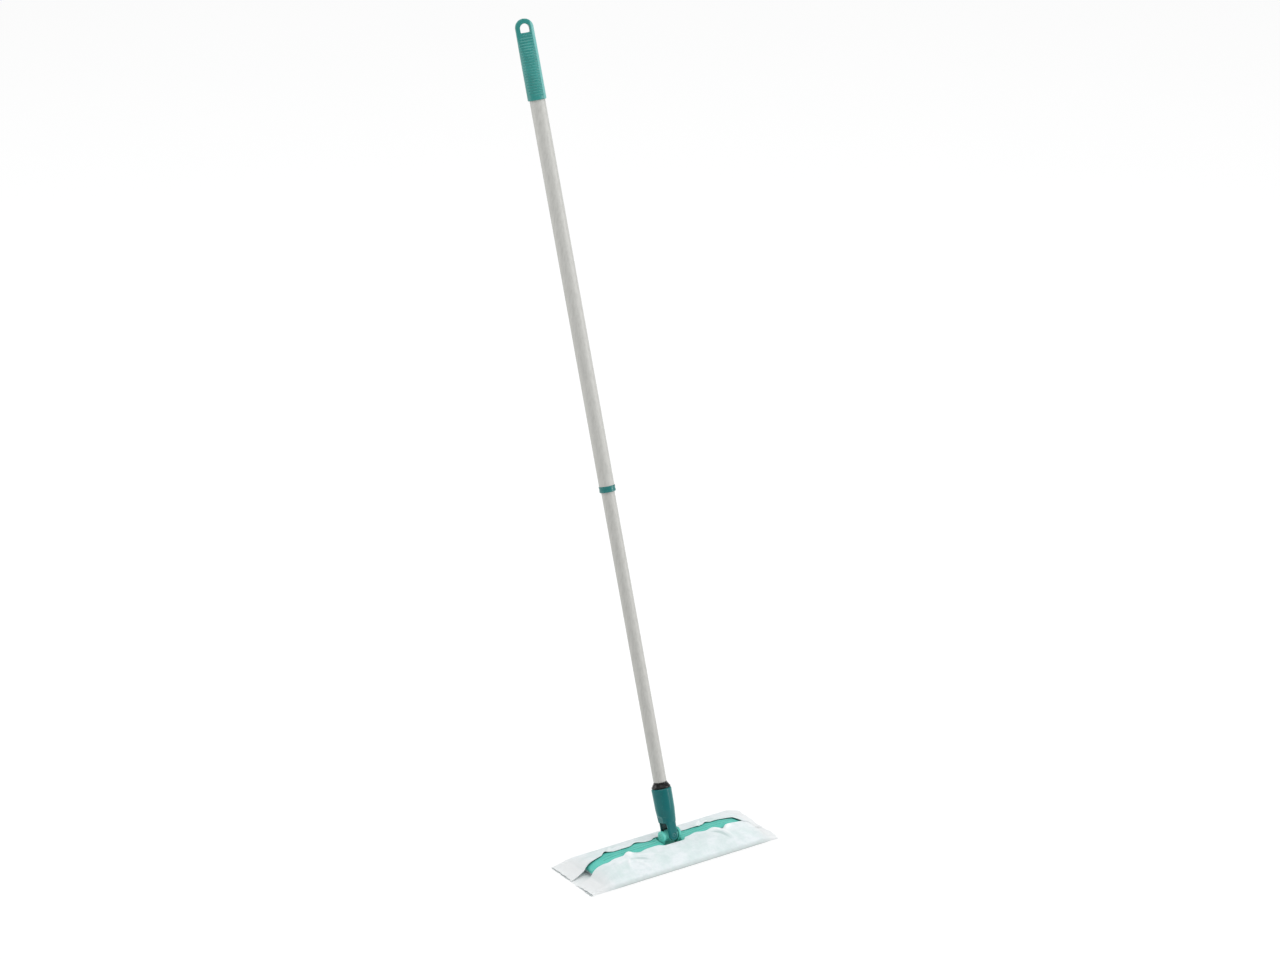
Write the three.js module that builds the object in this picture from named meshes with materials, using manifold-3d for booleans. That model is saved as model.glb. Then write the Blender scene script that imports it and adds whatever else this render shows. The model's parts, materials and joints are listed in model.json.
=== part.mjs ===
// Flat mop with a wrap-round cloth, a two-axis joint and a telescopic handle.
// Millimetres, +Z up. The origin is on the floor, straight below the centre of the joint.
// +X runs along the head, and the handle leans back towards +Y.
import * as THREE from 'three';
import { mergeVertices } from 'three/addons/utils/BufferGeometryUtils.js';
import Module from 'manifold-3d';

const wasm = await Module();
wasm.setup();

// ---- driving dimensions ----

const gap = 0.3;                  // space left between neighbouring pieces
const reach = 40;                 // longer than any piece a cutting tool has to pass through

const plate = { length: 264, width: 96, corner: 16, base: 6.3, edgeTop: 8, ridgeTop: 23,
  flatHalf: 85, crownPower: 2.2, wall: 2.5, rib: 2, ribsAlong: [-6, 6], ribsAcross: [-106, -54, 54, 106] };
const pad = { bottom: 1.3, top: 6.0, inset: 1 };
const cloth = { left: -164, right: 154, centreY: 1, width: 103, thickness: 1, endRise: 4.5, endBow: 2.5,
  lift: 0.5, slack: 9, shoulderY: 44, soleY: 25, soleZ: 0.5, endHeight: 0.66 };
const hem = [[2.2, 10], [0.4, 9], [0, 6.8]];      // [in from the cloth's side, height] down the side
const foot = [[0, 2.6], [0.8, 1.0], [2.4, 0.5]];  // and on under the sole
const flap = { front: 8.5, back: 12, atJoint: 15, jointFrom: 19, jointTo: 29,
  rightFrom: 100, rightTo: 118, frontRight: 0.8, backRight: -17,
  leftFrom: 125, leftTo: 164, frontLeft: 6, backLeft: -8 };
const gripper = { x: 80, y: 20, radius: 8.7, thickness: 2.6, flange: 10.6, flangeThickness: 1.2,
  slits: 3, slitLength: 12, slitWidth: 0.8 };

const pivotHeight = 29.6;         // centre of the joint above the floor
const pocket = { halfX: 15, halfY: 13, floor: 15.4 };
const lug = { inner: 11, outer: 15, radius: 8.1, neckHalf: 5.2 };
const pin = { radius: 3.5, innerEnd: 4.6 };
const knuckle = { halfX: 10.7, halfY: 8.1, radius: 6.8 };
const fork = { inner: 8.4, outer: 12, halfWidth: 7, crotch: 19, round: 13 };

const lean = THREE.MathUtils.degToRad(18.4);     // handle lean at rest, towards +Y
const socket = { top: 68.6, topRadius: 14.4, waist: 38, waistRadius: 13.9, footRadius: 12.4,
  bore: 10, boreFloor: 28, chamfer: 1.4, sideX: 10.6, sideTop: 25, sideRound: 6 };
const adapter = { bottom: 30, stem: 9.7, coneTop: 75.2, coneFoot: 13.7, coneHead: 9.9, rimTop: 76.8,
  spigot: 8.6, spigotTop: 97, hole: 6, bead: 10.4, beadAt: 50 };
const lowerTube = { bottom: 77.1, top: 674.5, outer: 9.5, inner: 8.9 };
const upperTube = { bottom: 498, top: 1111, outer: 11, inner: 10.4 };
const collar = { bottom: 496.3, height: 8.6, outer: 11.7, lip: 1.4, lipBore: 9.8 };
const lock = { shankBottom: 650, shank: 8.6, flange: 9.8, flangeHeight: 2.5, journal: 5,
  journalHeight: 20, offset: 0.6, spigot: 3, spigotHeight: 5, ring: 9.5, slot: 3 };
const cap = { radius: 8.6, height: 7 };
const grip = { bottom: 1051.2, top: 1165, radius: 13.2, halfLoop: 12.95, loopThickness: 10,
  taperFrom: 1116, taperTo: 1142, boreTop: 1112.3, turn: THREE.MathUtils.degToRad(-21) };
const eye = { bottom: 1145.4, halfWidth: 6.8, archCentre: 1151.3 };

const roundSteps = 32;            // facets round a full circle
const smallSteps = 24;            // facets round a small circle

// ---- materials ----

const finish = (color, roughness, metalness = 0) =>
  new THREE.MeshStandardMaterial({ color, roughness, metalness });
const lightTeal = finish(0x62c7b6, 0.4);
const darkTeal = finish(0x2b6a68, 0.25);
const gripTeal = finish(0x3f8f89, 0.5);
const black = finish(0x1d1d1f, 0.35);
const paintedTube = finish(0xc4c4c0, 0.35, 0.3);
const steel = finish(0xb4b6b8, 0.3, 0.9);
const foam = finish(0x9fb0b2, 0.9);
const rubber = finish(0x4a9c92, 0.7);
const whiteCloth = finish(0xe9eeee, 0.95);
const nylon = finish(0xdcdcd6, 0.5);

// ---- small tools ----

function toSolid(geometry) {
  const plain = geometry.clone();
  plain.deleteAttribute('normal');
  plain.deleteAttribute('uv');
  const merged = mergeVertices(plain, 1e-4);
  return new wasm.Manifold(new wasm.Mesh({
    numProp: 3,
    vertProperties: new Float32Array(merged.attributes.position.array),
    triVerts: new Uint32Array(merged.index.array),
  }));
}

function toGeometry(solid) {
  const mesh = solid.getMesh();
  const geometry = new THREE.BufferGeometry();
  geometry.setAttribute('position', new THREE.BufferAttribute(mesh.vertProperties, 3));
  geometry.setIndex(new THREE.BufferAttribute(mesh.triVerts, 1));
  geometry.computeVertexNormals();
  return geometry;
}

const union = (...solids) => solids.reduce((a, b) => a.add(b));
const cut = (body, ...tools) => tools.reduce((a, b) => a.subtract(b), body);

// A solid of revolution about Z. The points are [radius, z] and run anticlockwise.
function turned(points, steps = roundSteps) {
  const outline = points.map(([r, z]) => new THREE.Vector2(r, z));
  if (points[0][0] > 0) outline.push(outline[0].clone());
  return toSolid(new THREE.LatheGeometry(outline, steps).rotateX(Math.PI / 2));
}

const rod = (radius, from, to, steps) => turned([[0, from], [radius, from], [radius, to], [0, to]], steps);
const tube = (outer, inner, from, to) => turned([[inner, from], [outer, from], [outer, to], [inner, to]]);

// A solid box between two corners.
function block([x0, y0, z0], [x1, y1, z1]) {
  const box = new THREE.BoxGeometry(x1 - x0, y1 - y0, z1 - z0);
  return toSolid(box.translate((x0 + x1) / 2, (y0 + y1) / 2, (z0 + z1) / 2));
}

function shapeOf(points) {
  return new THREE.Shape(points.map(([a, b]) => new THREE.Vector2(a, b)));
}

const extruded = (shape, depth, curveSegments = 8) =>
  new THREE.ExtrudeGeometry(shape, { depth, bevelEnabled: false, curveSegments });

// An XZ outline pushed along Y, and a YZ outline pushed along X, both centred on the origin.
const alongY = (shape, depth) => toSolid(extruded(shape, depth).rotateX(Math.PI / 2).translate(0, depth / 2, 0));
const alongX = (shape, depth) => toSolid(
  extruded(shape, depth).rotateX(Math.PI / 2).rotateZ(Math.PI / 2).translate(-depth / 2, 0, 0));

// A round bar about the X axis or the Y axis, between two places along it.
const moved = (solid, x, y, z) => toSolid(toGeometry(solid).translate(x, y, z));
const barX = (radius, from, to, z = 0) => moved(toSolid(toGeometry(rod(radius, from, to)).rotateY(Math.PI / 2)), 0, 0, z);
const barY = (radius, from, to) => toSolid(toGeometry(rod(radius, from, to)).rotateX(-Math.PI / 2));

function roundedRectangle(length, width, radius) {
  const [a, b] = [length / 2, width / 2];
  const shape = new THREE.Shape();
  shape.moveTo(-a + radius, -b);
  shape.absarc(a - radius, -b + radius, radius, -Math.PI / 2, 0);
  shape.absarc(a - radius, b - radius, radius, 0, Math.PI / 2);
  shape.absarc(-a + radius, b - radius, radius, Math.PI / 2, Math.PI);
  shape.absarc(-a + radius, -b + radius, radius, Math.PI, 1.5 * Math.PI);
  return shape;
}

// ---- the plate's outer surface ----

// Height of the ridge along X: flat in the middle, then a quarter ellipse down to the end.
function ridge(x, halfLength = plate.length / 2) {
  const past = Math.max(0, Math.abs(x) - plate.flatHalf) / (halfLength - plate.flatHalf);
  const drop = Math.sqrt(Math.max(0, 1 - past ** 2));
  return plate.edgeTop + (plate.ridgeTop - plate.edgeTop) * drop;
}

// Height of the crown across Y.
function crown(y) {
  const part = Math.min(1, Math.abs(y) / (plate.width / 2));
  return plate.edgeTop + (plate.ridgeTop - plate.edgeTop) * (1 - part ** plate.crownPower);
}

// The dome under the plate's surface, set in by `inset` from the top and all sides.
function dome(inset) {
  const a = plate.length / 2 - inset;
  const b = plate.width / 2 - inset;
  const low = plate.base - 5;
  const steps = 8;
  const along = [[-a, low], [a, low]];
  for (let i = 0; i <= steps; i += 1) {
    const x = plate.flatHalf + (a - plate.flatHalf) * Math.cos((i / steps) * Math.PI / 2);
    along.push([x, ridge(x, a) - inset]);
  }
  along.push(...along.slice(2).reverse().map(([x, z]) => [-x, z]));
  const across = [[-b, low], [b, low]];
  for (let i = 0; i <= 2 * steps; i += 1) {
    const y = b * (1 - i / steps);
    across.push([y, crown(y) - inset]);
  }
  const plan = extruded(roundedRectangle(2 * a, 2 * b, plate.corner - inset), reach, 4);
  return toSolid(plan.translate(0, 0, plate.base))
    .intersect(alongY(shapeOf(along), plate.width + 10))
    .intersect(alongX(shapeOf(across), plate.length + 10));
}

// ---- the head ----

const gripperSlope = Math.atan((crown(gripper.y - 1) - crown(gripper.y + 1)) / 2);

// Puts a piece made about Z at a gripper's place, square to the crown's slope.
function atGripper(geometry, sx, sy) {
  const depth = 0.8;              // the disc lies a little below the crown
  return geometry.rotateX(-sy * gripperSlope)
    .translate(sx * gripper.x, sy * gripper.y, crown(gripper.y) - depth);
}

const corners = [[-1, -1], [1, -1], [-1, 1], [1, 1]];

function headPlate() {
  const { wall, rib, base, length, width } = plate;
  const ribs = [];
  for (const y of plate.ribsAlong) ribs.push(block([-length / 2, y - rib / 2, base - 1], [length / 2, y + rib / 2, reach]));
  for (const x of plate.ribsAcross) {
    ribs.push(block([x - rib / 2, -width / 2, base - 1], [x + rib / 2, width / 2, reach]));
  }
  const wells = corners.map(([sx, sy]) =>
    toSolid(atGripper(toGeometry(rod(gripper.flange + 1, -8, 3, smallSteps)), sx, sy)));
  const well = pocket;
  const pocketWalls = block([-well.halfX - wall, -well.halfY - wall, well.floor - wall],
    [well.halfX + wall, well.halfY + wall, reach]);
  const hollow = cut(dome(wall), cut(union(...ribs), ...wells), pocketWalls);
  const holes = corners.map(([sx, sy]) =>
    toSolid(atGripper(toGeometry(rod(gripper.radius + gap, -8, 8, smallSteps)), sx, sy)));
  const pocketSpace = block([-well.halfX, -well.halfY, well.floor], [well.halfX, well.halfY, reach]);
  let body = cut(dome(0), hollow, pocketSpace, ...holes);
  for (const side of [-1, 1]) {
    const from = Math.min(side * lug.inner, side * lug.outer);
    const to = Math.max(side * lug.inner, side * lug.outer);
    const disc = barX(lug.radius, from, to, pivotHeight);
    const neck = block([from, -lug.neckHalf, well.floor - 1], [to, lug.neckHalf, pivotHeight]);
    const bore = barX(pin.radius + gap, from - 1, to + 1, pivotHeight);
    body = cut(union(body, disc, neck), bore);
  }
  return body;
}

function solePad() {
  const shape = roundedRectangle(plate.length - 2 * pad.inset, plate.width - 2 * pad.inset, plate.corner - pad.inset);
  return toSolid(extruded(shape, pad.top - pad.bottom, 4).translate(0, 0, pad.bottom));
}

// A soft disc with crossed slits that the cloth is pushed into, and a flange under the plate's wall.
function clothGripper() {
  const neck = plate.wall + 1;
  const { radius, flange, flangeThickness } = gripper;
  const disc = turned([[0, -neck - flangeThickness], [flange, -neck - flangeThickness], [flange, -neck],
    [radius, -neck], [radius, 0], [0, 0]], smallSteps);
  const bowl = turned([[0, -neck - 3], [radius - 1.5, -neck - 3], [radius - 1.5, -gripper.thickness],
    [0, -gripper.thickness]], smallSteps);
  const slits = [];
  for (let i = 0; i < gripper.slits; i += 1) {
    const [a, b] = [gripper.slitLength / 2, gripper.slitWidth / 2];
    const box = new THREE.BoxGeometry(2 * a, 2 * b, 20).rotateZ(i * Math.PI / gripper.slits);
    slits.push(toSolid(box));
  }
  return cut(disc, bowl, ...slits);
}

// ---- the cloth ----

const mix = THREE.MathUtils.lerp;
const ease = (value, from, to) => THREE.MathUtils.smoothstep(value, from, to);

// The two free edges of the cloth on top of the plate: front first, then back.
function flapEdges(x) {
  const nearJoint = 1 - ease(Math.abs(x), flap.jointFrom, flap.jointTo);
  const rightEnd = ease(x, flap.rightFrom, flap.rightTo);
  const leftEnd = ease(-x, flap.leftFrom, flap.leftTo);
  const front = flap.front + flap.frontRight * rightEnd + flap.frontLeft * leftEnd;
  const back = flap.back + flap.backRight * rightEnd + flap.backLeft * leftEnd;
  return [-mix(front, flap.atJoint, nearJoint), mix(back, flap.atJoint, nearJoint)];
}

// How far the cloth at x lies past the end of the plate, from 0 to 1.
function pastEnd(x) {
  const end = x < 0 ? -cloth.left : cloth.right;
  return ease(Math.abs(x), plate.length / 2 - 4, end + 6);
}

// Middle of the cloth's thickness over the plate. Its slack lets it fall off the end later than the plate does.
function coverHeight(x, y) {
  const lift = gap + cloth.thickness / 2 + cloth.lift;
  const over = Math.min(ridge(x, plate.length / 2 + cloth.slack), crown(y)) + lift;
  const low = cloth.endRise + cloth.endBow * (2 * y / cloth.width) ** 2;
  return mix(over, Math.min(over, low), pastEnd(x));
}

// The cloth's section at x: from the front flap's edge, down the front, under, and up the back.
function clothSection(x) {
  const [front, back] = flapEdges(x);
  const half = (cloth.width - cloth.thickness) / 2;
  const side = (edge, sign) => {
    const rim = half + sign * cloth.centreY;
    const low = mix(1, cloth.endHeight, pastEnd(x));
    const points = [];
    const steps = 7;
    for (let i = 0; i < steps; i += 1) {
      const y = mix(edge, sign * cloth.shoulderY, i / (steps - 1));
      points.push([y, coverHeight(x, y)]);
    }
    for (const [inset, z] of hem) points.push([sign * (rim - inset), z * low]);
    for (const [inset, z] of foot) points.push([sign * (rim - inset), z]);
    points.push([sign * cloth.soleY, cloth.soleZ]);
    return points;
  };
  return [...side(front, -1), [0, cloth.soleZ], ...side(back, 1).reverse()];
}

// Sections stand closer together round the joint and towards the ends, where the cloth's shape changes.
const station = { nearJoint: 38, nearEnd: 94, close: 7, wide: 18 };

function cleaningCloth() {
  const stations = [];
  const { nearJoint, nearEnd, close, wide } = station;
  const step = (x) => (Math.abs(x) > nearEnd || Math.abs(x) < nearJoint ? close : wide);
  for (let x = cloth.left; x < cloth.right - 3; x += step(x)) stations.push(x);
  stations.push(cloth.right);
  const positions = [];
  for (const x of stations) {
    const middle = clothSection(x);
    const last = middle.length - 1;
    for (const side of [1, -1]) {
      middle.forEach(([y, z], i) => {
        const before = middle[Math.max(0, i - 1)];
        const after = middle[Math.min(last, i + 1)];
        const [ty, tz] = [after[0] - before[0], after[1] - before[1]];
        const offset = side * cloth.thickness / 2 / Math.hypot(ty, tz);
        positions.push(x, y + tz * offset, z - ty * offset);
      });
    }
  }
  const count = clothSection(0).length;
  const ring = 2 * count;
  const order = (i) => (i < count ? i : ring - 1 - (i - count));   // round the section's outline
  const index = [];
  for (let s = 0; s < stations.length - 1; s += 1) {
    for (let i = 0; i < ring; i += 1) {
      const a = s * ring + order(i);
      const b = s * ring + order((i + 1) % ring);
      index.push(a, b, a + ring, b, b + ring, a + ring);
    }
  }
  for (let i = 0; i < count - 1; i += 1) {
    const far = (stations.length - 1) * ring;
    index.push(i, i + count, i + 1, i + 1, i + count, i + 1 + count);
    index.push(far + i, far + i + 1, far + i + count, far + i + 1, far + i + 1 + count, far + i + count);
  }
  const geometry = new THREE.BufferGeometry();
  geometry.setAttribute('position', new THREE.Float32BufferAttribute(positions, 3));
  geometry.setIndex(index);
  geometry.computeVertexNormals();
  return geometry;
}

// ---- the joint, in the handle's own frame: Z along the handle, Y across the swing axis ----

function knuckleBlock() {
  const cross = union(barX(knuckle.radius, -knuckle.halfX, knuckle.halfX),
    barY(knuckle.radius, -knuckle.halfY, knuckle.halfY));
  const bores = [barX(pin.radius + gap, -20, 20), barY(pin.radius + gap, -20, 20)];
  return cut(cross, ...bores);
}

// What is cut away from one side of the socket below its waist: a flat that rises in a round.
function socketSide(sign) {
  const { sideX, sideTop, sideRound, topRadius } = socket;
  const steps = 6;
  const outline = [[sideX, fork.crotch - 5], [sideX, sideTop]];
  for (let i = 1; i <= steps; i += 1) {
    const turn = (i / steps) * Math.PI / 2;
    outline.push([sideX + sideRound * (1 - Math.cos(turn)), sideTop + sideRound * Math.sin(turn)]);
  }
  const far = topRadius + sideRound;
  outline.push([far, sideTop + sideRound], [far, fork.crotch - 5]);
  return alongY(shapeOf(outline.map(([x, z]) => [sign * x, z])), reach);
}

function jointSocket() {
  const { top, topRadius, waist, waistRadius, footRadius, bore, boreFloor, chamfer } = socket;
  const groove = adapter.bead + gap;
  const shell = turned([[0, fork.crotch], [footRadius, fork.crotch], [waistRadius, waist], [topRadius, top - chamfer],
    [topRadius - chamfer, top], [bore, top], [bore, adapter.beadAt + 3.2], [groove, adapter.beadAt + 2.4],
    [groove, adapter.beadAt - 0.4], [bore, adapter.beadAt - 1.2], [bore, boreFloor], [0, boreFloor]]);
  const envelope = rod(fork.round, -fork.halfWidth - 1, fork.crotch + 4);
  let body = cut(shell, ...[-1, 1].map(socketSide));
  for (const sign of [-1, 1]) {
    const low = Math.min(sign * fork.inner, sign * fork.outer);
    const high = Math.max(sign * fork.inner, sign * fork.outer);
    const arm = union(barY(fork.halfWidth, low, high),
      block([-fork.halfWidth, low, 0], [fork.halfWidth, high, fork.crotch + 4]));
    body = union(body, arm.intersect(envelope));
  }
  return cut(body, barY(pin.radius + gap, -20, 20));
}

function tubeAdapter() {
  const { bottom, stem, coneTop, coneFoot, coneHead, rimTop, spigot, spigotTop, hole, bead, beadAt } = adapter;
  const seat = socket.top + gap;
  return turned([[hole, bottom], [stem - 0.8, bottom], [stem, bottom + 1.5], [stem, beadAt - 0.4], [bead, beadAt + 0.4],
    [bead, beadAt + 1.6], [stem, beadAt + 2.4], [stem, seat], [coneFoot, seat], [coneHead, coneTop],
    [coneHead, rimTop], [spigot, rimTop], [spigot, spigotTop - 1], [spigot - 0.8, spigotTop], [hole, spigotTop]]);
}

// ---- the handle ----

// The lower tube's end is rolled in a little over the adapter.
function lowerTubeShell() {
  const { bottom, top, outer, inner } = lowerTube;
  return turned([[inner, bottom], [outer - 0.35, bottom], [outer, bottom + 1], [outer, top], [inner, top]]);
}

// Plug in the top of the lower tube, with the off-centre journal that the locking ring turns on.
const lockSeat = lowerTube.top + gap;
const journalFoot = lockSeat + lock.flangeHeight;
const journalTop = journalFoot + lock.journalHeight;

function lockPlug() {
  const shank = rod(lock.shank, lock.shankBottom, lockSeat + 0.5);
  const flange = rod(lock.flange, lockSeat, journalFoot);
  const journal = moved(rod(lock.journal, journalFoot - 0.5, journalTop), lock.offset, 0, 0);
  const spigot = rod(lock.spigot, journalTop - 0.5, journalTop + lock.spigotHeight, smallSteps);
  return union(shank, flange, journal, spigot);
}

function lockCamRing() {
  const foot = journalFoot + gap;
  const head = journalTop - gap;
  const outer = moved(rod(lock.ring, foot, head), lock.offset, 0, 0);
  const bore = rod(lock.journal + lock.offset + gap, foot - 1, head + 1);
  const slot = block([-20, -lock.slot / 2, foot - 1], [0, lock.slot / 2, head + 1]);
  return cut(outer, bore, slot);
}

function lockEndCap() {
  const foot = journalTop + gap;
  const bore = lock.spigot + gap;
  const depth = lock.spigotHeight;
  return turned([[bore, foot], [cap.radius, foot], [cap.radius, foot + cap.height - 1.5],
    [cap.radius - 1.5, foot + cap.height], [0, foot + cap.height], [0, foot + depth], [bore, foot + depth]]);
}

function tubeCollar() {
  const { bottom, height, outer, lip, lipBore } = collar;
  const bore = upperTube.outer + gap;
  return turned([[lipBore, bottom], [outer - 0.6, bottom], [outer, bottom + 0.6], [outer, bottom + height - 0.6],
    [outer - 0.3, bottom + height], [bore, bottom + height], [bore, bottom + lip], [lipBore, bottom + lip]]);
}

// Grip: a round sleeve whose top narrows, seen from the side, into a flat loop.
function handGrip() {
  const { bottom, top, radius, halfLoop, loopThickness, taperFrom, taperTo, boreTop } = grip;
  const front = new THREE.Shape();
  front.moveTo(-radius, bottom);
  front.lineTo(radius, bottom);
  front.lineTo(radius, taperFrom);
  front.absarc(0, top - halfLoop, halfLoop, 0, Math.PI);
  front.lineTo(-radius, taperFrom);
  const side = shapeOf([[-radius, bottom], [radius, bottom], [radius, taperFrom], [loopThickness / 2, taperTo],
    [loopThickness / 2, top + 1], [-loopThickness / 2, top + 1], [-loopThickness / 2, taperTo],
    [-radius, taperFrom]]);
  const sleeve = turned([[0, bottom], [radius - 0.8, bottom], [radius, bottom + 0.8], [radius, top + 2], [0, top + 2]]);
  const hole = new THREE.Shape();
  hole.moveTo(-eye.halfWidth, eye.bottom);
  hole.lineTo(eye.halfWidth, eye.bottom);
  hole.absarc(0, eye.archCentre, eye.halfWidth, 0, Math.PI);
  const body = sleeve.intersect(alongY(front, reach)).intersect(alongX(side, reach));
  const bore = rod(upperTube.outer + gap, bottom - 1, boreTop);
  return cut(body, bore, alongY(hole, reach));
}

// ---- assembly ----

const group = new THREE.Group();
const handle = new THREE.Group();
handle.position.z = pivotHeight;
handle.rotation.x = -lean;
group.add(handle);

function add(parent, name, shape, material) {
  const geometry = shape.isBufferGeometry ? shape : toGeometry(shape);
  const mesh = new THREE.Mesh(geometry, material);
  mesh.name = name;
  parent.add(mesh);
  return mesh;
}

add(group, 'head_plate', headPlate(), lightTeal);
add(group, 'sole_pad', solePad(), foam);
add(group, 'cleaning_cloth', cleaningCloth(), whiteCloth);
for (const [sx, sy] of corners) {
  const name = `cloth_gripper_${sy < 0 ? 'front' : 'back'}_${sx < 0 ? 'left' : 'right'}`;
  add(group, name, atGripper(toGeometry(clothGripper()), sx, sy), rubber);
}

add(handle, 'knuckle_block', knuckleBlock(), lightTeal);
add(handle, 'tilt_pin_left', barX(pin.radius, -lug.outer, -pin.innerEnd), steel);
add(handle, 'tilt_pin_right', barX(pin.radius, pin.innerEnd, lug.outer), steel);
add(handle, 'swing_pin_front', barY(pin.radius, -fork.outer, -pin.innerEnd), steel);
add(handle, 'swing_pin_back', barY(pin.radius, pin.innerEnd, fork.outer), steel);

add(handle, 'joint_socket', jointSocket(), darkTeal);
add(handle, 'tube_adapter', tubeAdapter(), black);
add(handle, 'lower_tube', lowerTubeShell(), paintedTube);
add(handle, 'lock_plug', lockPlug(), nylon);
add(handle, 'lock_cam_ring', lockCamRing(), nylon);
add(handle, 'lock_end_cap', lockEndCap(), nylon);

add(handle, 'upper_tube', tube(upperTube.outer, upperTube.inner, upperTube.bottom, upperTube.top), paintedTube);
add(handle, 'tube_collar', tubeCollar(), darkTeal);
const gripMesh = add(handle, 'grip', handGrip(), gripTeal);
gripMesh.rotation.z = grip.turn;

export default group;
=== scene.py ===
"""Flat mop: the looks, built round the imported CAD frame. Lengths in the tables below are millimetres."""
import json
import math

import bpy
import bmesh
import numpy as np
from mathutils import Matrix, Vector


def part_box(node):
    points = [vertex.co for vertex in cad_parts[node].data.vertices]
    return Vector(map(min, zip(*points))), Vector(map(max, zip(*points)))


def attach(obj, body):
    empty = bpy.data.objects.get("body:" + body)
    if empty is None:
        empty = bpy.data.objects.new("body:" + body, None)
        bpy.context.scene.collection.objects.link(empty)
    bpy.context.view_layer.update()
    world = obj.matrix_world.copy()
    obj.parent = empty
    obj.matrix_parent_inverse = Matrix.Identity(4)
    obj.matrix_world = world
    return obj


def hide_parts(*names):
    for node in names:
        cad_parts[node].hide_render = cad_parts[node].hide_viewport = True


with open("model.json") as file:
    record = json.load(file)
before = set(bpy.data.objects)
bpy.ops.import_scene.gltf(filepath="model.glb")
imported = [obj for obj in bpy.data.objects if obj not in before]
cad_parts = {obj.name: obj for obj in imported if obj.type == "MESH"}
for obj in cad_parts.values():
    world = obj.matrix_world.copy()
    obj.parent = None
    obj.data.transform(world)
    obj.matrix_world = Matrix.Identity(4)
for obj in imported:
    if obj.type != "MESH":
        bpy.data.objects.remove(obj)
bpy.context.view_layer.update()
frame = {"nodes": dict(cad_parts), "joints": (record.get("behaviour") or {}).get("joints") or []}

MM = 0.001
X_AXIS = Vector((1, 0, 0))
joints = {j["name"]: j for j in frame["joints"]}
PIVOT = Vector(joints["head_tilt"]["pos_m"])
ALONG = Vector(joints["telescope"]["axis"]).normalized()
ACROSS = ALONG.cross(X_AXIS).normalized()


def placed(x_axis, y_axis, z_axis, origin=PIVOT):
    """Matrix that puts a piece drawn about the origin along these axes."""
    turn = Matrix((x_axis, y_axis, z_axis)).transposed().to_4x4()
    return Matrix.Translation(origin) @ turn


HANDLE = placed(X_AXIS, ACROSS, ALONG)              # Z up the handle, Y along the swing axis
GRIP_TURN = math.radians(-21)
GRIP = HANDLE @ Matrix.Rotation(GRIP_TURN, 4, "Z")  # Y through the hanging eye
ROW = Matrix.Identity(4)

# ---- sizes ----

PLATE = {"half_x": 132.0, "half_y": 48.0, "corner": 16.0, "base": 6.3, "edge": 8.0, "ridge": 23.0,
         "flat": 85.0, "crown": 2.2}
RIM = {"wall": 2.5, "lip": 0.4, "straight_x": 60}
POCKET = {"half_x": 15.0, "half_y": 13.0, "floor": 15.4, "corner": 2.0, "draft": 0.6,
          "under_x": 1.13, "under_y": 1.19}         # the last two: how much larger it is underneath
GROOVES = {"at": (-6.0, 0.0, 6.0), "half": 0.9, "depth": 0.8, "from_x": 20.0, "to_x": 112.0}
GRIPPER = {"x": 80.0, "y": 20.0, "height": 20.0, "hole": 9.0}
LUG = {"inner": 11.0, "outer": 15.0, "radius": 8.1, "neck": 5.2, "bevel": 0.8}
PIN = {"radius": 3.5, "bore": 3.8, "inner_end": 4.6, "dimple": 1.4, "dimple_depth": 0.6}
KNUCKLE = {"half_x": 10.7, "half_y": 8.1, "radius": 6.8}
FORK = {"inner": 8.4, "outer": 12.0, "half": 7.0, "crotch": 19.0, "flare": 4.0, "round": 13.0}
SOCKET = {"top": 68.6, "rim": 14.4, "waist": 38.0, "waist_radius": 13.9, "foot_radius": 12.4, "bore": 10.0,
          "bore_floor": 60, "side_x": 10.6, "side_top": 25.0, "side_round": 6.0}
ADAPTER = {"foot": 30, "bore": 6, "stem": 9.7, "seat": 68.9, "base": 13.3, "bulge": 13.7, "groove": 12.7,
           "cone_top": 11.0, "neck": 9.6, "bead": 9.9, "shelf": 76.8, "spigot": 8.6, "top": 97}
LOWER_TUBE = {"bore": 8.9, "radius": 9.5, "foot": 77.1, "top": 674.5, "rolled": 1.5}
UPPER_TUBE = {"bore": 10.4, "radius": 11, "foot": 498, "top": 1111}
COLLAR = {"bore": 9.8, "seat": 11.25, "radius": 11.5, "bead": 11.75, "foot": 496.3, "floor": 497.7,
          "top": 504.9}
GRIP_SIZE = {"bottom": 1051.2, "top": 1165.0, "radius": 13.2, "half_loop": 12.95, "thick": 10.0,
             "taper_from": 1112.0, "taper_to": 1142.0, "squared_from": 1118, "squared_to": 1141,
             "bore": 11.25, "bore_top": 1112.3}
EYE = {"bottom": 1145.4, "half": 6.8, "arch": 1151.3}
RIBS = {"pitch": 3.9, "height": 0.75, "first": 1057.0, "last": 1143.0, "half_width": 12.2, "strip": 7.6}
CLOTH = {"left": -164.0, "right": 154.0, "centre_y": 1.0, "width": 103.0, "thick": 0.5, "slack": 6.0,
         "shoulder": 45.0, "fork_clear": 13.9}

# ---- making meshes ----


def linked(name, data):
    """A new object in the scene."""
    obj = bpy.data.objects.new(name, data)
    bpy.context.scene.collection.objects.link(obj)
    return obj


def new_object(name, vertices, faces):
    mesh = bpy.data.meshes.new(name)
    mesh.from_pydata([tuple(v) for v in vertices], [], faces)
    mesh.update()
    return linked(name, mesh)


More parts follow.
